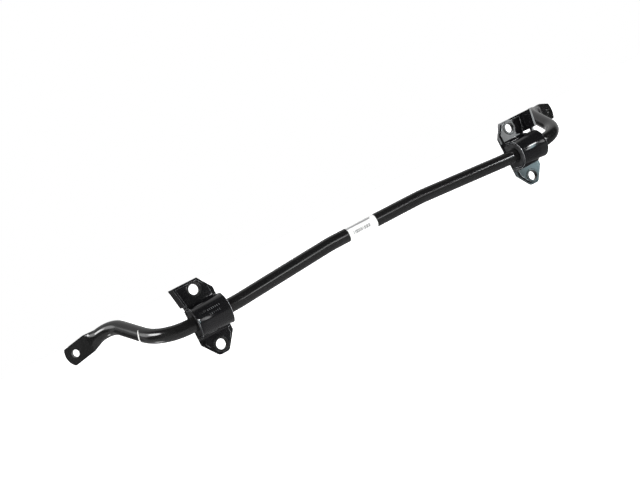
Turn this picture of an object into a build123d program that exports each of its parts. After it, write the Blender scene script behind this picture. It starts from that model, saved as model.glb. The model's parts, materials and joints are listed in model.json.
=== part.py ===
from build123d import *
import os

# Sway bar with two clamped frame brackets. Millimetres.
# +X runs along the bar to its right-hand end. +Y runs from the brackets towards the vehicle's
# frame, the way the arms go. +Z runs towards the brackets' wide upper ears. The origin is the
# centre of the four bracket bolt holes, on the mounting face.

# Bar
BAR_D = 22.0
BRACKET_X = 305.0  # bracket centre from the middle of the bar
BAR_Y = -24.5  # bar axis inside the brackets, in front of the mounting face
BOW_Y = 4.0  # how far the bar's middle is set back
BOW_Z = 11.5  # how far the bar's middle is set up
BOW_END_X = 87.0  # the middle stays straight up to here
KINK_X = BRACKET_X - 42.0  # the bar straightens here before it enters the bracket
KINK_R = 300.0
SHOULDER = (77.8, 0.0, 0.0)  # first arm corner, from the bracket centre on the bar axis
ELBOW = (112.5, 109.2, 50.5)  # second arm corner
EYE = (173.3, 140.0, 37.1)  # centre of the link eye
SHOULDER_R = 60.0
ELBOW_R = 46.0

# Forged link eye
EYE_HOLE_R = 6.1
EYE_WIDTH = 30.0
EYE_THICK = 8.0
EYE_FLAT = 25.0  # flat length from the hole centre back towards the bar
EYE_CORNER = 10.5  # end corners, past the hole centre
EYE_CROWN = 16.0  # rounded end, past the hole centre
EYE_NECK = 18.0  # length of the forged taper from round to flat
EYE_NECK_ROUNDING = 3.6  # edges of the flat end of that taper

# Bracket sheet metal
SHEET = 3.2
HOLE_SPACING = 89.0
HOLE_R = 8.0  # clear hole through the eyelets
SADDLE_LEN = 52.0
SADDLE_R = 23.0  # outer radius of the U over the bushing
SADDLE_FILLET = 4.0  # inside of the bend between an ear and the U
RIM_LEN = 4.0  # flared rim at each end of the U
RIM_TAPER = 14.0
RIM_ROOT_Y = -13.0  # the flare starts here, clear of the bend to the ears
EAR_REACH = 70.0  # half length of sheet that both ears are cut from

# Flange on the outboard edge of the upper ear
FLANGE_TOP_X = 35.5
FLANGE_LOW_X = 30.5
FLANGE_TOP_Z = 58.3
FLANGE_LOW_Z = 28.0
FLANGE_DEPTH = 35.0
FLANGE_BEND_R = 3.0  # inside radius of the bend
TOOTH_Y = -22.0
TOOTH_WIDTH = 7.0
TOOTH_DROP = 4.5
FLANGE_LAP = 12.0  # how far the flange strip reaches into the upper ear

# Eyelets
EYELET_WALL = 1.6
EYELET_RIM_R = 11.6
EYELET_RIM = 1.2
EYELET_ROLL = 0.72  # rounding of the rolled front rim

# Bushing
BUSHING_LEN = 50.0
BUSHING_CLEAR = 0.05  # running clearance on the bar's radius
BUSHING_CORNER = 3.0
BUSHING_SLIT = 0.8
BUSHING_LEAD = 1.5

# Label
LABEL_X = (-56.0, -4.0)
LABEL_THICK = 0.25

SADDLE_BORE_R = SADDLE_R - SHEET
EYELET_R = HOLE_R + EYELET_WALL
HOLE_HEIGHTS = (-HOLE_SPACING / 2, HOLE_SPACING / 2)
FORWARD = (0, -1, 0)  # from the mounting face to the front of the bracket

# Ear outlines in X and Z for the right-hand bracket, from the bracket centre
PLATE_OUTLINE = (
    (24.0, FLANGE_LOW_Z),
    (22.5, 26.5),
    (22.5, 23.5),
    (26.5, 21.0),
    (26.5, -34.0),
    (8.0, -58.5),
    (-8.0, -58.5),
    (-26.5, -34.0),
    (-28.0, 35.5),
    (-12.0, FLANGE_TOP_Z),
    (28.5, FLANGE_TOP_Z),
)
PLATE_ROUNDING = {-58.5: 7.0, -34.0: 3.0, 35.5: 3.0}  # corner radius at each height
STRAP_OUTLINE = (
    (28.0, 55.3),
    (26.0, 42.0),
    (21.5, 30.0),
    (21.5, 25.5),
    (26.0, 24.5),
    (26.0, -26.0),
    (20.5, -27.5),
    (20.5, -37.0),
    (7.0, -55.3),
    (-7.0, -55.3),
    (-20.5, -37.0),
    (-20.5, -27.5),
    (-26.0, -26.0),
    (-26.0, 24.5),
    (-21.5, 25.5),
    (-21.5, 39.5),
    (-9.5, 55.3),
)
STRAP_ROUNDING = {-55.3: 6.0, -37.0: 3.0, 39.5: 3.0}

os.makedirs("parts", exist_ok=True)


def finish(builder, label):
    """Label a finished piece and write its STEP file."""
    builder.part.label = label
    export_step(builder.part, f"parts/{label}.step")


def arm_point(side, offset):
    """A point given from the bracket centre on the bar axis, on the side it belongs to."""
    return Vector(side * (BRACKET_X + offset[0]), BAR_Y + offset[1], offset[2])


def eye_plane(side):
    """Plane of a link eye: x towards the tip, z along the hole."""
    along = (arm_point(side, EYE) - arm_point(side, ELBOW)).normalized()
    hole_axis = along.cross(Vector(0, 0, 1)).normalized() * side
    return Plane(origin=arm_point(side, EYE), x_dir=along, z_dir=hole_axis)


def section_plane(side, back):
    """Plane across the arm, this far back from the eye's hole."""
    eye = eye_plane(side)
    return Plane(origin=eye.origin - eye.x_dir * back, x_dir=eye.y_dir, z_dir=eye.x_dir)


# --- Stabilizer bar -------------------------------------------------------------------------------
NECK_BACK = EYE_FLAT + EYE_NECK
left_neck = section_plane(-1, NECK_BACK)
right_neck = section_plane(1, NECK_BACK)
bar_route = [
    left_neck.origin,
    arm_point(-1, ELBOW),
    arm_point(-1, SHOULDER),
    Vector(-KINK_X, BAR_Y, 0),
    Vector(-BOW_END_X, BAR_Y + BOW_Y, BOW_Z),
    Vector(BOW_END_X, BAR_Y + BOW_Y, BOW_Z),
    Vector(KINK_X, BAR_Y, 0),
    arm_point(1, SHOULDER),
    arm_point(1, ELBOW),
    right_neck.origin,
]
bar_radii = [ELBOW_R, SHOULDER_R] + [KINK_R] * 4 + [SHOULDER_R, ELBOW_R]

with BuildPart() as stabilizer_bar:
    with BuildLine() as bar_line:
        FilletPolyline(*bar_route, radius=bar_radii)
    with BuildSketch(Plane(origin=bar_line.wire() @ 0, z_dir=bar_line.wire() % 0)):
        Circle(BAR_D / 2)
    sweep(path=bar_line.wire())
    for side in (-1, 1):
        eye = eye_plane(side)
        with BuildSketch(section_plane(side, NECK_BACK)):
            Circle(BAR_D / 2)
        with BuildSketch(section_plane(side, EYE_FLAT)):
            RectangleRounded(EYE_WIDTH, EYE_THICK, EYE_NECK_ROUNDING)
        loft()
        with BuildSketch(eye.offset(-EYE_THICK / 2)):
            with BuildLine():
                tip = ThreePointArc(
                    (EYE_CORNER, -EYE_WIDTH / 2), (EYE_CROWN, 0), (EYE_CORNER, EYE_WIDTH / 2)
                )
                Polyline(tip @ 1, (-EYE_FLAT, EYE_WIDTH / 2), (-EYE_FLAT, -EYE_WIDTH / 2), tip @ 0)
            make_face()
        extrude(amount=EYE_THICK)
        with Locations(eye):
            Hole(EYE_HOLE_R, depth=EYE_THICK)
finish(stabilizer_bar, "stabilizer_bar")


# --- Identification label wrapped round the middle of the bar -------------------------------------
with BuildPart() as identification_label:
    with BuildSketch(Plane.YZ.offset(LABEL_X[0])):
        with Locations((BAR_Y + BOW_Y, BOW_Z)):
            Circle(BAR_D / 2 + LABEL_THICK)
            Circle(BAR_D / 2, mode=Mode.SUBTRACT)
    extrude(amount=LABEL_X[1] - LABEL_X[0])
finish(identification_label, "identification_label")


# --- Brackets -------------------------------------------------------------------------------------
def ear_outline(points, rounding, side):
    """Rounded outline of a bracket sheet, mirrored for the left-hand bracket."""
    with BuildSketch(Plane.XZ) as outline:
        with BuildLine():
            Polyline(*[(side * (BRACKET_X + x), z) for x, z in points], close=True)
        make_face()
        for height, radius in rounding.items():
            corners = outline.vertices().filter_by(lambda v: abs(v.Y - height) < 0.01)
            fillet(corners, radius)
    return outline.sketch


def bolt_circles(side, radius):
    """Circles on the mounting face round both bolt holes of one bracket."""
    with BuildSketch(Plane.XZ) as circles:
        with Locations(*[(side * BRACKET_X, z) for z in HOLE_HEIGHTS]):
            Circle(radius)
    return circles.sketch


def saddle_outline(plane, radius, root_y):
    """The U of this radius on a plane across the bar, closed off at root_y."""
    with BuildSketch(plane) as outline:
        with Locations((BAR_Y, 0)):
            Circle(radius)
        with Locations(((BAR_Y + root_y) / 2, 0)):
            Rectangle(root_y - BAR_Y, 2 * radius)
        split(bisect_by=Plane.YZ.offset(root_y), keep=Keep.BOTTOM)
    return outline.sketch


def build_back_plate(side):
    """Rear sheet of a bracket: two ears, and a flange with a tooth on the outboard edge."""
    lean = Vector(side * (FLANGE_TOP_X - FLANGE_LOW_X), 0, FLANGE_TOP_Z - FLANGE_LOW_Z).normalized()
    outward = Vector(0, side, 0).cross(lean)
    bend_plane = Plane(
        origin=(side * (BRACKET_X + FLANGE_LOW_X), 0, FLANGE_LOW_Z), x_dir=outward, z_dir=lean
    )
    front = -side  # local y that points to the front of the bracket
    with BuildPart() as back_plate:
        with BuildSketch(bend_plane):
            with BuildLine():
                Polyline(
                    (-FLANGE_LAP, 0),
                    (0, 0),
                    (0, front * FLANGE_DEPTH),
                    (-SHEET, front * FLANGE_DEPTH),
                    (-SHEET, front * SHEET),
                    (-FLANGE_LAP, front * SHEET),
                    close=True,
                )
            make_face()
            outer = vertices().filter_by(lambda v: abs(v.X) < 0.01 and abs(v.Y) < 0.01)
            inner = vertices().filter_by(
                lambda v: abs(v.X + SHEET) < 0.01 and abs(v.Y - front * SHEET) < 0.01
            )
            fillet(outer, FLANGE_BEND_R + SHEET)
            fillet(inner, FLANGE_BEND_R)
        extrude(amount=2 * EAR_REACH, both=True)
        split(bisect_by=Plane.XY.offset(FLANGE_TOP_Z), keep=Keep.BOTTOM)
        split(bisect_by=Plane.XY.offset(FLANGE_LOW_Z), keep=Keep.TOP)
        with BuildSketch(bend_plane.offset(SHEET)):
            with Locations((-SHEET / 2, side * TOOTH_Y)):
                Rectangle(SHEET, TOOTH_WIDTH)
        extrude(amount=-(SHEET + TOOTH_DROP))
        extrude(ear_outline(PLATE_OUTLINE, PLATE_ROUNDING, side), amount=SHEET, dir=FORWARD)
        extrude(bolt_circles(side, EYELET_R), amount=SHEET, dir=FORWARD, mode=Mode.SUBTRACT)
        extrude(bolt_circles(side, EYELET_RIM_R), amount=EYELET_RIM, dir=FORWARD, mode=Mode.SUBTRACT)
    return back_plate


def build_saddle(side):
    """Front sheet of a bracket: a U over the bushing, with an ear at each end."""
    centre_plane = Plane.YZ.offset(side * BRACKET_X)
    with BuildPart() as saddle:
        with BuildSketch(centre_plane):
            with Locations((-1.5 * SHEET, 0)):
                Rectangle(SHEET, 2 * EAR_REACH)
            add(saddle_outline(Plane.XY, SADDLE_R, -SHEET))
            add(saddle_outline(Plane.XY, SADDLE_BORE_R, 0), mode=Mode.SUBTRACT)
            inside_bend = vertices().filter_by(
                lambda v: abs(v.X + 2 * SHEET) < 0.01 and abs(abs(v.Y) - SADDLE_R) < 0.01
            )
            outside_bend = vertices().filter_by(
                lambda v: abs(v.X + SHEET) < 0.01 and abs(abs(v.Y) - SADDLE_BORE_R) < 0.01
            )
            fillet(inside_bend, SADDLE_FILLET)
            fillet(outside_bend, SADDLE_FILLET + SHEET)
        extrude(amount=SADDLE_LEN, both=True)
        plan = ear_outline(STRAP_OUTLINE, STRAP_ROUNDING, side)
        extrude(plan, amount=EAR_REACH, dir=FORWARD, mode=Mode.INTERSECT)
        for end in (-1, 1):
            rim_plane = Plane(
                origin=(side * BRACKET_X + end * (SADDLE_LEN / 2 - RIM_LEN), 0, 0),
                x_dir=(0, 1, 0),
                z_dir=(end, 0, 0),
            )
            for radius, mode in ((SADDLE_R, Mode.ADD), (SADDLE_BORE_R, Mode.SUBTRACT)):
                rim = saddle_outline(rim_plane, radius, RIM_ROOT_Y)
                extrude(rim, amount=RIM_LEN, taper=-RIM_TAPER, mode=mode)
        extrude(bolt_circles(side, EYELET_R), amount=EAR_REACH, dir=FORWARD, mode=Mode.SUBTRACT)
    return saddle


def build_eyelets(side):
    """Two rolled eyelets that clamp the two sheets together."""
    front = -2 * SHEET
    with BuildPart() as eyelets:
        for z in HOLE_HEIGHTS:
            centre = Vector(side * BRACKET_X, 0, z)
            with BuildSketch(Plane(origin=centre, x_dir=(1, 0, 0), z_dir=(0, 0, 1))):
                with BuildLine():
                    Polyline(
                        (HOLE_R, 0),
                        (EYELET_RIM_R, 0),
                        (EYELET_RIM_R, -EYELET_RIM),
                        (EYELET_R, -EYELET_RIM),
                        (EYELET_R, front),
                        (EYELET_RIM_R, front),
                        (EYELET_RIM_R, front - EYELET_RIM),
                        (HOLE_R, front - EYELET_RIM),
                        close=True,
                    )
                make_face()
                rolled = vertices().filter_by(lambda v: abs(v.Y - front + EYELET_RIM) < 0.01)
                fillet(rolled, EYELET_ROLL)
            revolve(axis=Axis(centre, (0, 1, 0)))
    return eyelets


def build_bushing(side):
    """Rubber bushing: D-shaped outside, bored for the bar, slit towards the back plate."""
    with BuildPart() as bushing:
        with BuildSketch(Plane.YZ.offset(side * BRACKET_X)):
            add(saddle_outline(Plane.XY, SADDLE_BORE_R, -SHEET))
            corners = vertices().filter_by(lambda v: abs(v.X + SHEET) < 0.01)
            fillet(corners, BUSHING_CORNER)
            with Locations((BAR_Y, 0)):
                Circle(BAR_D / 2 + BUSHING_CLEAR, mode=Mode.SUBTRACT)
            with Locations((BAR_Y / 2, 0)):
                Rectangle(-BAR_Y, BUSHING_SLIT, mode=Mode.SUBTRACT)
        extrude(amount=BUSHING_LEN / 2, both=True)
        bore_edges = edges().filter_by(GeomType.CIRCLE).filter_by(
            lambda e: abs(e.radius - BAR_D / 2 - BUSHING_CLEAR) < 0.01
        )
        chamfer(bore_edges, BUSHING_LEAD)
    return bushing


for side, hand in ((-1, "left"), (1, "right")):
    finish(build_back_plate(side), f"{hand}_back_plate")
    finish(build_saddle(side), f"{hand}_saddle")
    finish(build_eyelets(side), f"{hand}_eyelets")
    finish(build_bushing(side), f"{hand}_bushing")
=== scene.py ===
import json
import math

import bmesh
import bpy
from mathutils import Matrix, Vector


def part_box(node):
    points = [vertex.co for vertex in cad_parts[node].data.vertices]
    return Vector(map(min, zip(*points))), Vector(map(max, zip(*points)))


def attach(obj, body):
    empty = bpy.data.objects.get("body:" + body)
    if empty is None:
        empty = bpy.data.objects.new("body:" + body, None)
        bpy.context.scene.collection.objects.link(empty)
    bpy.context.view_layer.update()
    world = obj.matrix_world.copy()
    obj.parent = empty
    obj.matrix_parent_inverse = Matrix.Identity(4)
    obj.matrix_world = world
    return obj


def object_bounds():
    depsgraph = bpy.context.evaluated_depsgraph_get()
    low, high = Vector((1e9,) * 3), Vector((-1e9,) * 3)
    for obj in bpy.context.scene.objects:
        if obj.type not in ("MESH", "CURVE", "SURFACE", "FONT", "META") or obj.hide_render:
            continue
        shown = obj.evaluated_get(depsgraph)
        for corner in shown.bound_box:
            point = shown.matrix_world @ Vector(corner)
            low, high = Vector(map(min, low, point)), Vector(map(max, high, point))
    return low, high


# Sway bar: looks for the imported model. Metres, in the CAD frame.

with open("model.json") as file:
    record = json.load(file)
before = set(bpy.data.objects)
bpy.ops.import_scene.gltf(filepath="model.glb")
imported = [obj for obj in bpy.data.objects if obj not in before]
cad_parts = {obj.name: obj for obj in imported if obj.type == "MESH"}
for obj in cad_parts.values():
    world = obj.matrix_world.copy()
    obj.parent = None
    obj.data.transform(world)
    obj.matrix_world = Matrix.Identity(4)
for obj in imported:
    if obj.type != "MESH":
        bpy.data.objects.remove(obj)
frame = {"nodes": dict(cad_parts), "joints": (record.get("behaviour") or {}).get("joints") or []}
CAD_LOW, CAD_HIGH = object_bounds()
NODES = frame["nodes"]
HANDS = ("left", "right")

# Camera: place and axes of the view, and its horizontal field of view
CAMERA_PLACE = Vector((-0.67149, -1.42321, 0.07114))
CAMERA_RIGHT = Vector((0.82196, -0.35045, -0.44896))
CAMERA_UP = Vector((0.42539, -0.14361, 0.89091))
CAMERA_BACK = Vector((-0.37759, -0.92545, 0.03111))
CAMERA_FOV = math.radians(35.508)
SENSOR_WIDTH = 36.0  # millimetres
CLIP_NEAR, CLIP_FAR = 0.05, 60.0

# Where the pieces are, from the CAD
LABEL_LOW, LABEL_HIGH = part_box("identification_label")
LABEL_CENTRE = (LABEL_LOW + LABEL_HIGH) / 2
LABEL_LENGTH = LABEL_HIGH.x - LABEL_LOW.x
SADDLE_LOW, SADDLE_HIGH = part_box("left_saddle")
BAR_Y = Vector(frame["joints"][0]["pos_m"]).y
BAR_R = 0.011

WHITE = (1.0, 1.0, 1.0)


# --- Nodes ----------------------------------------------------------------------------------------
def new_material(name):
    """A node material, with its tree and its Principled shader."""
    material = bpy.data.materials.new(name)
    material.use_nodes = True
    tree = material.node_tree
    return material, tree, tree.nodes["Principled BSDF"]


def node(tree, kind, **settings):
    """A node of this kind, with these attributes."""
    made = tree.nodes.new(kind)
    for key, value in settings.items():
        setattr(made, key, value)
    return made


def feed(tree, socket, value):
    """Gives an input a number, a colour, or the output of another node."""
    if isinstance(value, (int, float)):
        socket.default_value = value
    elif isinstance(value, tuple):
        socket.default_value = (*value, 1.0)
    else:
        tree.links.new(value, socket)


def object_coords(tree):
    return node(tree, "ShaderNodeTexCoord").outputs["Object"]


def noise(tree, coords, scale, detail, roughness, distortion=0.0):
    made = node(tree, "ShaderNodeTexNoise")
    made.inputs["Scale"].default_value = scale
    made.inputs["Detail"].default_value = detail
    made.inputs["Roughness"].default_value = roughness
    made.inputs["Distortion"].default_value = distortion
    tree.links.new(coords, made.inputs["Vector"])
    return made.outputs["Fac"]


def spread(tree, value, low, high, out_low=0.0, out_high=1.0):
    """Maps low..high smoothly to out_low..out_high, held at both ends."""
    made = node(tree, "ShaderNodeMapRange", interpolation_type="SMOOTHSTEP")
    tree.links.new(value, made.inputs["Value"])
    made.inputs["From Min"].default_value = low
    made.inputs["From Max"].default_value = high
    made.inputs["To Min"].default_value = out_low
    made.inputs["To Max"].default_value = out_high
    return made.outputs["Result"]


def maths(tree, operation, first, second=0.0):
    made = node(tree, "ShaderNodeMath", operation=operation)
    feed(tree, made.inputs[0], first)
    feed(tree, made.inputs[1], second)
    return made.outputs["Value"]


def times(tree, first, second):
    return maths(tree, "MULTIPLY", first, second)


def between(tree, value, low, high):
    """1 where the value lies between low and high, otherwise 0."""
    above = maths(tree, "GREATER_THAN", value, low)
    return times(tree, above, maths(tree, "LESS_THAN", value, high))


def mix_colour(tree, factor, first, second):
    made = node(tree, "ShaderNodeMix", data_type="RGBA")
    feed(tree, made.inputs["Factor"], factor)
    feed(tree, made.inputs["A"], first)
    feed(tree, made.inputs["B"], second)
    return made.outputs["Result"]


def dot_product(tree, first, second):
    """Dot product of an output with another output, or with three fixed numbers."""
    made = node(tree, "ShaderNodeVectorMath", operation="DOT_PRODUCT")
    tree.links.new(first, made.inputs[0])
    if isinstance(second, tuple):
        made.inputs[1].default_value = second
    else:
        tree.links.new(second, made.inputs[1])
    return made.outputs["Value"]


def bump(tree, shader, heights):
    """Chains bump nodes: heights is a list of (height output, strength, distance)."""
    normal = None
    for height, strength, distance in heights:
        made = node(tree, "ShaderNodeBump")
        made.inputs["Strength"].default_value = strength
        made.inputs["Distance"].default_value = distance
        tree.links.new(height, made.inputs["Height"])
        if normal is not None:
            tree.links.new(normal, made.inputs["Normal"])
        normal = made.outputs["Normal"]
    tree.links.new(normal, shader.inputs["Normal"])


# --- Materials ------------------------------------------------------------------------------------
# In this section a noise is given by its scale, detail, roughness and maybe distortion, and a bump
# by its strength and distance. SPOTS, AREAS and RANGE say where a noise starts to show, and where
# it shows fully. ROUGH gives the roughness at the low and the high end of a noise's MIDDLE.
MIDDLE = (0.3, 0.7)

PAINT_BROAD = (34.0, 4.0, 0.6)  # slow change over the surface
PAINT_GRAINS = (900.0, 2.0, 0.5)
PAINT_RIPPLE = (420.0, 2.0, 0.45)
PAINT_SCUFFS = (260.0, 6.0, 0.7, 0.6)
PAINT_LIGHTER = 1.7  # how many times lighter the base colour gets
PAINT_ROUGH = (0.85, 1.2)  # as shares of the paint's gloss value
COAT_WEIGHT, COAT_ROUGHNESS = 0.5, 0.05

SCUFF_STRETCH = (0.25, 1.0, 1.0)  # the scuffs are drawn out along x
SCUFF_SPOTS, SCUFF_AREAS = (0.60, 0.72), (0.52, 0.68)
SCUFF_COLOUR, SCUFF_SHARE, SCUFF_ROUGHER = (0.10, 0.10, 0.10), 0.10, 0.22
DUST_SPOTS, DUST_AREAS = (0.56, 0.78), (0.35, 0.75)
DUST_COLOUR, DUST_ROUGHER = (0.22, 0.21, 0.20), 0.10
PEEL_DISTANCE = 0.0002
SCUFF_BUMP, BROAD_BUMP = (0.04, 0.00008), (0.10, 0.0004)

# Sharp edges are painted lighter: partly rubbed wear, partly a painted highlight for the light the
# rims catch.
EDGE_RADIUS, EDGE_SAMPLES = 0.0013, 6
EDGE_TURN = (0.985, 0.86)  # cosine of the surface's turn where the lighter edge starts, and where it is full
EDGE_AREAS = (0.38, 0.62)
EDGE_METALLIC = 0.4


def sharp_edge(tree):
    """1 at sharp edges and 0 on flat surfaces, from how far rounding turns the surface."""
    rounded = node(tree, "ShaderNodeBevel", samples=EDGE_SAMPLES)
    rounded.inputs["Radius"].default_value = EDGE_RADIUS
    actual = node(tree, "ShaderNodeNewGeometry").outputs["Normal"]
    return spread(tree, dot_product(tree, rounded.outputs["Normal"], actual), *EDGE_TURN)


def painted(name, base, wear_and_highlight_colour, gloss, peel, dust, wear_and_highlight_amount):
    """Black gloss paint over steel: orange peel, dust, faint scuffs, rubbed edges with painted
    highlight.
    """
    material, tree, shader = new_material(name)
    coords = object_coords(tree)
    broad = noise(tree, coords, *PAINT_BROAD)
    grains = noise(tree, coords, *PAINT_GRAINS)
    ripple = noise(tree, coords, *PAINT_RIPPLE)
    stretched = node(tree, "ShaderNodeMapping")
    stretched.inputs["Scale"].default_value = SCUFF_STRETCH
    tree.links.new(coords, stretched.inputs["Vector"])
    scuffs = noise(tree, stretched.outputs["Vector"], *PAINT_SCUFFS)
    scuffed = times(tree, spread(tree, scuffs, *SCUFF_SPOTS), spread(tree, broad, *SCUFF_AREAS))
    dusty = times(tree, spread(tree, grains, *DUST_SPOTS), spread(tree, broad, *DUST_AREAS))
    # Edges painted lighter, as rubbed wear and as painted highlight
    edge = times(tree, sharp_edge(tree), spread(tree, broad, *EDGE_AREAS))
    edge = times(tree, edge, wear_and_highlight_amount)

    colour = mix_colour(tree, broad, base, tuple(PAINT_LIGHTER * c for c in base))
    colour = mix_colour(tree, times(tree, dusty, dust), colour, DUST_COLOUR)
    colour = mix_colour(tree, times(tree, scuffed, SCUFF_SHARE), colour, SCUFF_COLOUR)
    tree.links.new(mix_colour(tree, edge, colour, wear_and_highlight_colour), shader.inputs["Base Color"])

    rough = spread(tree, broad, *MIDDLE, *(gloss * share for share in PAINT_ROUGH))
    rough = maths(tree, "ADD", rough, times(tree, scuffed, SCUFF_ROUGHER))
    rough = maths(tree, "ADD", rough, times(tree, dusty, DUST_ROUGHER))
    tree.links.new(rough, shader.inputs["Roughness"])
    tree.links.new(times(tree, edge, EDGE_METALLIC), shader.inputs["Metallic"])
    shader.inputs["Coat Weight"].default_value = COAT_WEIGHT
    shader.inputs["Coat Roughness"].default_value = COAT_ROUGHNESS
    heights = [(ripple, peel, PEEL_DISTANCE), (scuffs, *SCUFF_BUMP), (broad, *BROAD_BUMP)]
    bump(tree, shader, heights)
    return material


RUBBER_BLOOM = (60.0, 5.0, 0.65)
RUBBER_GRAIN = (1500.0, 2.0, 0.6)
BLOOM_RANGE = (0.40, 0.75)
RUBBER_CLEAN, RUBBER_BLOOMED = (0.010, 0.010, 0.011), (0.040, 0.040, 0.041)
RUBBER_ROUGH = (0.55, 0.78)
RUBBER_SPECULAR = 0.4
GRAIN_BUMP, BLOOM_BUMP = (0.35, 0.0001), (0.3, 0.0003)


def moulded_rubber(name):
    """Matt black rubber with bloom and fine grain."""
    material, tree, shader = new_material(name)
    coords = object_coords(tree)
    bloom = noise(tree, coords, *RUBBER_BLOOM)
    grain = noise(tree, coords, *RUBBER_GRAIN)
    bloomed = spread(tree, bloom, *BLOOM_RANGE)
    colour = mix_colour(tree, bloomed, RUBBER_CLEAN, RUBBER_BLOOMED)
    tree.links.new(colour, shader.inputs["Base Color"])
    tree.links.new(spread(tree, bloom, *MIDDLE, *RUBBER_ROUGH), shader.inputs["Roughness"])
    shader.inputs["Specular IOR Level"].default_value = RUBBER_SPECULAR
    bump(tree, shader, [(grain, *GRAIN_BUMP), (bloom, *BLOOM_BUMP)])
    return material


PAPER_FIBRES = (700.0, 4.0, 0.6)
PAPER_SOIL = (70.0, 4.0, 0.6)
SOIL_RANGE = (0.45, 0.8)
PAPER_CLEAN, PAPER_SOILED = (0.86, 0.86, 0.85), (0.66, 0.66, 0.65)
PAPER_ROUGH = (0.34, 0.50)
FIBRE_BUMP, SOIL_BUMP = (0.2, 0.0001), (0.3, 0.0003)

# The label's print. ROUND is in radians round the bar, up from its front, and ALONG and END are
# shares of the label's length.
BARS_PITCH = 0.0021  # from one printed bar to the next
BARS_FILL = (0.35, 0.75)  # narrowest and widest bar, as shares of the pitch
BARS_ROUND = (-0.36, 0.12)
BARS_ALONG = (0.14, 0.76)
BARS_COLOUR, BARS_SHARE = (0.05, 0.05, 0.055), 0.92
BAND_ROUND = (0.70, 0.98)
BAND_END = 0.84
BAND_COLOUR, BAND_SHARE = (0.16, 0.16, 0.17), 0.85


def label_paper(name):
    """White coated label: a grey band, a row of plain bars, and a slightly soiled surface."""
    material, tree, shader = new_material(name)
    coords = object_coords(tree)
    separate = node(tree, "ShaderNodeSeparateXYZ")
    tree.links.new(coords, separate.inputs["Vector"])
    along = maths(tree, "SUBTRACT", separate.outputs["X"], LABEL_LOW.x)
    height = maths(tree, "SUBTRACT", separate.outputs["Z"], LABEL_CENTRE.z)
    depth = maths(tree, "SUBTRACT", LABEL_CENTRE.y, separate.outputs["Y"])
    turn = maths(tree, "ARCTAN2", height, depth)

    column = maths(tree, "DIVIDE", along, BARS_PITCH)
    cell = node(tree, "ShaderNodeTexWhiteNoise", noise_dimensions="1D")
    tree.links.new(maths(tree, "FLOOR", column), cell.inputs["W"])
    fill = spread(tree, cell.outputs["Value"], 0.0, 1.0, *BARS_FILL)
    bars = maths(tree, "LESS_THAN", maths(tree, "FRACT", column), fill)
    in_row = between(tree, turn, *BARS_ROUND)
    in_length = between(tree, along, *(LABEL_LENGTH * share for share in BARS_ALONG))
    printed = times(tree, times(tree, bars, in_row), in_length)
    before_end = maths(tree, "LESS_THAN", along, LABEL_LENGTH * BAND_END)
    band = times(tree, between(tree, turn, *BAND_ROUND), before_end)

    fibres = noise(tree, coords, *PAPER_FIBRES)
    soil = noise(tree, coords, *PAPER_SOIL)
    colour = mix_colour(tree, spread(tree, soil, *SOIL_RANGE), PAPER_CLEAN, PAPER_SOILED)
    colour = mix_colour(tree, times(tree, band, BAND_SHARE), colour, BAND_COLOUR)
    colour = mix_colour(tree, times(tree, printed, BARS_SHARE), colour, BARS_COLOUR)
    tree.links.new(colour, shader.inputs["Base Color"])
    tree.links.new(spread(tree, fibres, *MIDDLE, *PAPER_ROUGH), shader.inputs["Roughness"])
    bump(tree, shader, [(fibres, *FIBRE_BUMP), (soil, *SOIL_BUMP)])
    return material


BRUSH_STREAKS = (500.0, 4.0, 0.6)
STREAK_RANGE = (0.35, 0.75)
BRUSHED_THICK, BRUSHED_THIN = (0.86, 0.86, 0.84), (0.55, 0.55, 0.54)
BRUSHED_ROUGH = (0.35, 0.55)
STREAK_BUMP = (0.4, 0.0002)


def brushed_paint(name):
    """Thin white paint, dabbed across the arm as an inspection mark."""
    material, tree, shader = new_material(name)
    streaks = noise(tree, object_coords(tree), *BRUSH_STREAKS)
    streaked = spread(tree, streaks, *STREAK_RANGE)
    colour = mix_colour(tree, streaked, BRUSHED_THICK, BRUSHED_THIN)
    tree.links.new(colour, shader.inputs["Base Color"])
    tree.links.new(spread(tree, streaks, *MIDDLE, *BRUSHED_ROUGH), shader.inputs["Roughness"])
    bump(tree, shader, [(streaks, *STREAK_BUMP)])
    return material


FLOOR_COLOUR = (0.93, 0.93, 0.93)
FLOOR_ROUGHNESS = 0.9
FLOOR_GLOW = 0.80


def studio_floor(name):
    """Plain white, with a glow that keeps it white under the soft light."""
    material, tree, shader = new_material(name)
    feed(tree, shader.inputs["Base Color"], FLOOR_COLOUR)
    feed(tree, shader.inputs["Roughness"], FLOOR_ROUGHNESS)
    feed(tree, shader.inputs["Emission Color"], WHITE)
    feed(tree, shader.inputs["Emission Strength"], FLOOR_GLOW)
    return material


BAR_PAINT = painted(
    "bar_paint",
    base=(0.0045, 0.0045, 0.0045),
    wear_and_highlight_colour=(0.12, 0.12, 0.12),
    gloss=0.16,
    peel=0.03,
    dust=0.03,
    wear_and_highlight_amount=0.2,
)
PLATE_COAT = painted(
    "plate_coat",
    base=(0.0035, 0.0035, 0.004),
    wear_and_highlight_colour=(0.30, 0.31, 0.32),
    gloss=0.13,
    peel=0.03,
    dust=0.02,
    wear_and_highlight_amount=0.5,
)
# Its pale edge colour is mostly a painted highlight on the saddle's rims, with some rubbed wear
SADDLE_COAT = painted(
    "saddle_coat",
    base=(0.0035, 0.0035, 0.004),
    wear_and_highlight_colour=(0.70, 0.72, 0.74),
    gloss=0.13,
    peel=0.02,
    dust=0.02,
    wear_and_highlight_amount=1.0,
)
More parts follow.
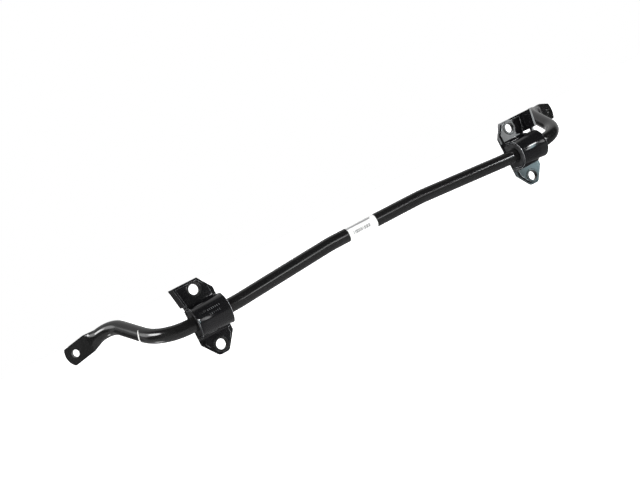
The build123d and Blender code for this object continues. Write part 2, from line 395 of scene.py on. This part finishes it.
# Its light edges are partly painted highlight on the eyelet rims, partly rubbed wear
EYELET_COAT = painted(
    "eyelet_coat",
    base=(0.006, 0.006, 0.006),
    wear_and_highlight_colour=(0.42, 0.42, 0.43),
    gloss=0.20,
    peel=0.05,
    dust=0.05,
    wear_and_highlight_amount=0.9,
)
RUBBER = moulded_rubber("bushing_rubber")
PAPER = label_paper("label_paper")
WHITE_PAINT = brushed_paint("white_mark")


# --- CAD pieces -----------------------------------------------------------------------------------
SHEET_EDGE = 0.0005
RUBBER_EDGE = 0.0004
BAR_EDGE, BAR_EDGE_SEGMENTS = 0.0011, 3
WELD_WITHIN = 0.000002
SHARP_ANGLE = math.radians(40)


def dress(obj, material):
    obj.data.materials.clear()
    obj.data.materials.append(material)


def soften(obj, width, segments=2):
    """Small rounded edges on a CAD node, so that its edges catch the light."""
    weld = obj.modifiers.new("weld", "WELD")
    weld.merge_threshold = WELD_WITHIN
    bevel = obj.modifiers.new("edge", "BEVEL")
    bevel.width = width
    bevel.segments = segments
    bevel.limit_method = "ANGLE"
    bevel.angle_limit = SHARP_ANGLE
    bevel.use_clamp_overlap = True
    bevel.harden_normals = True


for hand in HANDS:
    soften(NODES[f"{hand}_back_plate"], SHEET_EDGE)
    soften(NODES[f"{hand}_saddle"], SHEET_EDGE)
    soften(NODES[f"{hand}_bushing"], RUBBER_EDGE)
    dress(NODES[f"{hand}_back_plate"], PLATE_COAT)
    dress(NODES[f"{hand}_saddle"], SADDLE_COAT)
    dress(NODES[f"{hand}_eyelets"], EYELET_COAT)
    dress(NODES[f"{hand}_bushing"], RUBBER)
soften(NODES["stabilizer_bar"], BAR_EDGE, BAR_EDGE_SEGMENTS)
dress(NODES["stabilizer_bar"], BAR_PAINT)
dress(NODES["identification_label"], PAPER)


# --- Small pieces ---------------------------------------------------------------------------------
def new_object(name, data):
    made = bpy.data.objects.new(name, data)
    bpy.context.scene.collection.objects.link(made)
    return made


def skin(builder, loops):
    """Joins loops of vertices into a closed surface."""
    for lower, upper in zip(loops, loops[1:]):
        for k in range(len(lower)):
            n = (k + 1) % len(lower)
            builder.faces.new((lower[k], lower[n], upper[n], upper[k]))
    builder.faces.new(loops[0])
    builder.faces.new(loops[-1])


def new_piece(name, builder, body, material):
    """A smooth-shaded object from a bmesh, riding on a CAD body."""
    mesh = bpy.data.meshes.new(name)
    bmesh.ops.recalc_face_normals(builder, faces=builder.faces)
    builder.to_mesh(mesh)
    builder.free()
    for polygon in mesh.polygons:
        polygon.use_smooth = True
    made = new_object(name, mesh)
    dress(made, material)
    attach(made, body)
    return made


# A dab of white paint across the front and underside of the left arm, between its two corners
SHOULDER = Vector((-0.3828, BAR_Y, 0.0))
ELBOW = Vector((-0.4175, 0.0847, 0.0505))
MARK_SHARE = 0.434  # of the way from shoulder to elbow
MARK_NORMAL = Vector((0.86, -0.37, -0.24)).normalized()  # its plane is slanted to the arm
# Where it starts and ends round the arm, up from the side that faces CAMERA_PLACE
MARK_FROM, MARK_TO = math.radians(-118), math.radians(22)
MARK_STEPS = 60
MARK_HALF = 0.0013
MARK_TIP_HALF = 0.0001
MARK_PROUD = 0.00012
MARK_TAPER = 6  # the width fades over one part in this many, at both ends
MARK_WAVES = ((0.10, 9, 0.6), (0.07, 23, 0.0))  # ragged outline: size, waves, phase
MARK_PROFILE = (  # along the arm and out from its surface, in half widths and MARK_PROUDs
    (-1.0, -1.0),
    (-0.9, 0.8),
    (-0.45, 1.0),
    (0.45, 1.0),
    (0.9, 0.8),
    (1.0, -1.0),
)


def white_mark():
    axis = (ELBOW - SHOULDER).normalized()
    centre = SHOULDER.lerp(ELBOW, MARK_SHARE)
    front = (CAMERA_PLACE - centre).normalized()
    front = (front - axis * front.dot(axis)).normalized()
    up = front.cross(axis)
    if up.z < 0:
        up = -up
    builder = bmesh.new()
    loops = []
    for step in range(MARK_STEPS + 1):
        share = step / MARK_STEPS
        angle = MARK_FROM + (MARK_TO - MARK_FROM) * share
        outward = front * math.cos(angle) + up * math.sin(angle)
        slant = -outward.dot(MARK_NORMAL) / axis.dot(MARK_NORMAL) * BAR_R
        fade = min(1.0, MARK_TAPER * share, MARK_TAPER * (1 - share)) ** 0.5
        ragged = sum(size * math.sin(waves * angle + phase) for size, waves, phase in MARK_WAVES)
        half = MARK_HALF * fade * (1 + ragged) + MARK_TIP_HALF
        loop = []
        for across, height in MARK_PROFILE:
            out = outward * (BAR_R + height * MARK_PROUD)
            loop.append(builder.verts.new(centre + axis * (across * half + slant) + out))
        loops.append(loop)
    skin(builder, loops)
    new_piece("white_paint_mark", builder, "bar", WHITE_PAINT)


# Two rows of plain raised strokes on the left saddle
SADDLE_FLARE = 0.001  # the flared rims reach this far past the saddle's own surface
STROKE_HALF_LENGTH = 0.0016
STROKE_HALF_WIDTH = 0.00055
STROKE_PROUD = 0.00045
STROKE_PITCH = 0.0031
STROKE_SIDES = 16
STROKE_POWER = 0.6  # below 1, so that its outline is squarer than an ellipse
STROKE_TAPER = 0.35  # towards its top the length shrinks by this share of what the width does
STROKE_RINGS = (  # share of the full width, and height above the saddle, from the bottom up
    (1.0, -0.00005),
    (0.86, STROKE_PROUD * 0.65),
    (0.55, STROKE_PROUD),
)
STROKE_ROWS = (  # angle above the front of the saddle, how far along it starts, strokes
    (math.radians(26), -0.0170, 11),
    (math.radians(9), -0.0040, 6),
)


def squared(value):
    return math.copysign(abs(value) ** STROKE_POWER, value)


def stroke(builder, centre_x, centre_angle, radius):
    """One rounded raised stroke, upright on the saddle and wrapped round it."""
    loops = []
    for share, proud in STROKE_RINGS:
        half_width = STROKE_HALF_WIDTH * share
        half_length = STROKE_HALF_LENGTH * (share * STROKE_TAPER + 1 - STROKE_TAPER)
        reach = radius + proud
        loop = []
        for step in range(STROKE_SIDES):
            turn = 2 * math.pi * step / STROKE_SIDES
            x = centre_x + squared(math.cos(turn)) * half_width
            angle = centre_angle + squared(math.sin(turn)) * half_length / radius
            y = BAR_Y - reach * math.cos(angle)
            loop.append(builder.verts.new((x, y, reach * math.sin(angle))))
        loops.append(loop)
    skin(builder, loops)


def pressed_strokes():
    middle = (SADDLE_LOW.x + SADDLE_HIGH.x) / 2
    radius = BAR_Y - SADDLE_LOW.y - SADDLE_FLARE
    builder = bmesh.new()
    for angle, start, count in STROKE_ROWS:
        for k in range(count):
            stroke(builder, middle + start + k * STROKE_PITCH, angle, radius)
    new_piece("left_saddle_strokes", builder, "left_bracket", PLATE_COAT)


white_mark()
pressed_strokes()


# --- Lamps and floor ------------------------------------------------------------------------------
LAMP_SIZE = (1.6, 0.9)
LAMPS = (  # name, place, watts
    ("front_fill", (-0.3, -1.6, 0.9), 11.0),
    ("top", (-0.1, 0.1, 1.9), 3.0),
)
FLOOR_HALF = 9.0
FLOOR_GAP = 0.002  # below the object


def set_axes(obj, right, up, back, place):
    """Places an object, with its own x, y and z axes along right, up and back."""
    rows = [(right[k], up[k], back[k], place[k]) for k in range(3)]
    obj.matrix_world = Matrix((*rows, (0.0, 0.0, 0.0, 1.0)))


def matt_lamp(name, place, watts):
    """A lamp that faces the origin. Gloss doesn't reflect it, so it lights only matt surfaces."""
    data = bpy.data.lights.new(name, "AREA")
    data.shape = "RECTANGLE"
    data.size, data.size_y = LAMP_SIZE
    data.energy = watts
    lamp = new_object(name, data)
    back = Vector(place).normalized()
    right = Vector((1, 0, 0))
    right = (right - back * right.dot(back)).normalized()
    set_axes(lamp, right, back.cross(right), back, place)
    lamp.visible_glossy = False


def plain_floor():
    z = CAD_LOW.z - FLOOR_GAP
    mesh = bpy.data.meshes.new("floor")
    builder = bmesh.new()
    corners = [
        builder.verts.new((x * FLOOR_HALF, y * FLOOR_HALF, z))
        for x, y in ((-1, -1), (1, -1), (1, 1), (-1, 1))
    ]
    builder.faces.new(corners)
    builder.to_mesh(mesh)
    builder.free()
    floor = new_object("floor", mesh)
    dress(floor, studio_floor("floor_white"))
    floor.visible_glossy = False
    floor.visible_shadow = False


for lamp_settings in LAMPS:
    matt_lamp(*lamp_settings)
plain_floor()


# --- World ----------------------------------------------------------------------------------------
# A patch of the studio: azimuth and elevation, outer and inner half angle, all in degrees, and
# strength. Azimuth 0 is in front of the object, and 90 is to its right.
STUDIO_LIGHTS = (
    (21.6, -5, 3.8, 2.2, 3.8),  # windows that draw the line along the bar, weaker to the right
    (21.4, 1, 3.8, 2.2, 3.8),
    (24.4, 1, 4.0, 2.3, 2.8),
    (24.4, 8, 4.0, 2.3, 2.8),
    (27.6, 3, 3.5, 1.5, 1.2),
    (34.6, 12, 2.7, 1.8, 34.0),  # three in a row, which draw the line along the right saddle
    (37.6, 12, 2.7, 1.8, 34.0),
    (40.6, 12, 2.7, 1.8, 34.0),
    (36.2, 6.5, 2.4, 1.4, 9.0),  # tinted line under that one
    (39.8, -1, 6.5, 5.5, 5.2),  # front right, on the right bracket's ears
    (-46, -1, 26, 12, 0.17),  # front left, on the left link eye
    (-97, 35, 24, 10, 2.8),  # left and above, along the left arm
    (-71, 42, 15, 10, 13.0),  # line on the left arm beside its bracket
    (-134, -46, 9, 4, 5.5),  # glint under the left arm's corner
)
TINTED_PATCHES = ((37.0, -7, 5.6, 3.9, 1.0), (36.2, 5.0, 4.4, 3.6, 1.0))
TINTED_LIGHT = (0.66, 0.99, 1.08)
DARK_PATCH = (-153, -1, 38, 20, 1.0)  # no backdrop here

# Ranges along a direction's x, y or z, and what they are mapped to where that isn't 0 to 1
BACKDROP_Y = (-0.02, 0.35)  # behind the object
BACKDROP_Z = (-0.60, -0.10, 0.3, 1.0)  # darker low down
BACKDROP_STRENGTH = 0.44
BELOW_Z = (-0.42, -0.10, 0.36, 0.0)  # light from under the object
BELOW_X = (0.34, 0.58, 1.0, 0.35)  # weaker to the right
LEAST_STRENGTH = 0.05
SEEN_STRENGTH = 1.0  # what the camera sees of it directly


def patch(tree, direction, azimuth, elevation, outer, inner, strength):
    """Light from a round patch of the studio, fading from its inner to its outer angle."""
    around, above = math.radians(azimuth), math.radians(elevation)
    flat = math.cos(above)
    towards = (math.sin(around) * flat, -math.cos(around) * flat, math.sin(above))
    edges = math.cos(math.radians(outer)), math.cos(math.radians(inner))
    return spread(tree, dot_product(tree, direction, towards), *edges, 0.0, strength)


def studio_world():
    """White to look at. What lights the object is darker, with a backdrop and bright patches."""
    world = bpy.data.worlds.new("studio")
    world.use_nodes = True
    bpy.context.scene.world = world
    tree = world.node_tree
    background = tree.nodes["Background"]
    direction = node(tree, "ShaderNodeTexCoord").outputs["Generated"]
    parts = node(tree, "ShaderNodeSeparateXYZ")
    tree.links.new(direction, parts.inputs["Vector"])
    x, y, z = (parts.outputs[axis] for axis in "XYZ")

    behind = times(tree, spread(tree, y, *BACKDROP_Y), spread(tree, z, *BACKDROP_Z))
    lit = maths(tree, "SUBTRACT", 1.0, patch(tree, direction, *DARK_PATCH))
    backdrop = times(tree, times(tree, behind, lit), BACKDROP_STRENGTH)
    below = times(tree, spread(tree, z, *BELOW_Z), spread(tree, x, *BELOW_X))
    total = maths(tree, "MAXIMUM", backdrop, below)
    total = maths(tree, "MAXIMUM", total, LEAST_STRENGTH)
    for light in STUDIO_LIGHTS:
        total = maths(tree, "MAXIMUM", total, patch(tree, direction, *light))

    seen = node(tree, "ShaderNodeLightPath").outputs["Is Camera Ray"]
    mixed = node(tree, "ShaderNodeMix", data_type="FLOAT")
    tree.links.new(seen, mixed.inputs["Factor"])
    tree.links.new(total, mixed.inputs["A"])
    mixed.inputs["B"].default_value = SEEN_STRENGTH
    tree.links.new(mixed.outputs["Result"], background.inputs["Strength"])
    tint = maths(tree, "MAXIMUM", *(patch(tree, direction, *spot) for spot in TINTED_PATCHES))
    tint = times(tree, tint, maths(tree, "SUBTRACT", 1.0, seen))
    tree.links.new(mix_colour(tree, tint, WHITE, TINTED_LIGHT), background.inputs["Color"])


studio_world()


# --- Camera ---------------------------------------------------------------------------------------
camera_data = bpy.data.cameras.new("camera")
camera_data.sensor_fit = "HORIZONTAL"
camera_data.sensor_width = SENSOR_WIDTH
camera_data.lens = SENSOR_WIDTH / 2 / math.tan(CAMERA_FOV / 2)
camera_data.clip_start = CLIP_NEAR
camera_data.clip_end = CLIP_FAR
camera = new_object("camera", camera_data)
set_axes(camera, CAMERA_RIGHT, CAMERA_UP, CAMERA_BACK, CAMERA_PLACE)
bpy.context.scene.camera = camera
bpy.context.scene.view_settings.view_transform = "Standard"
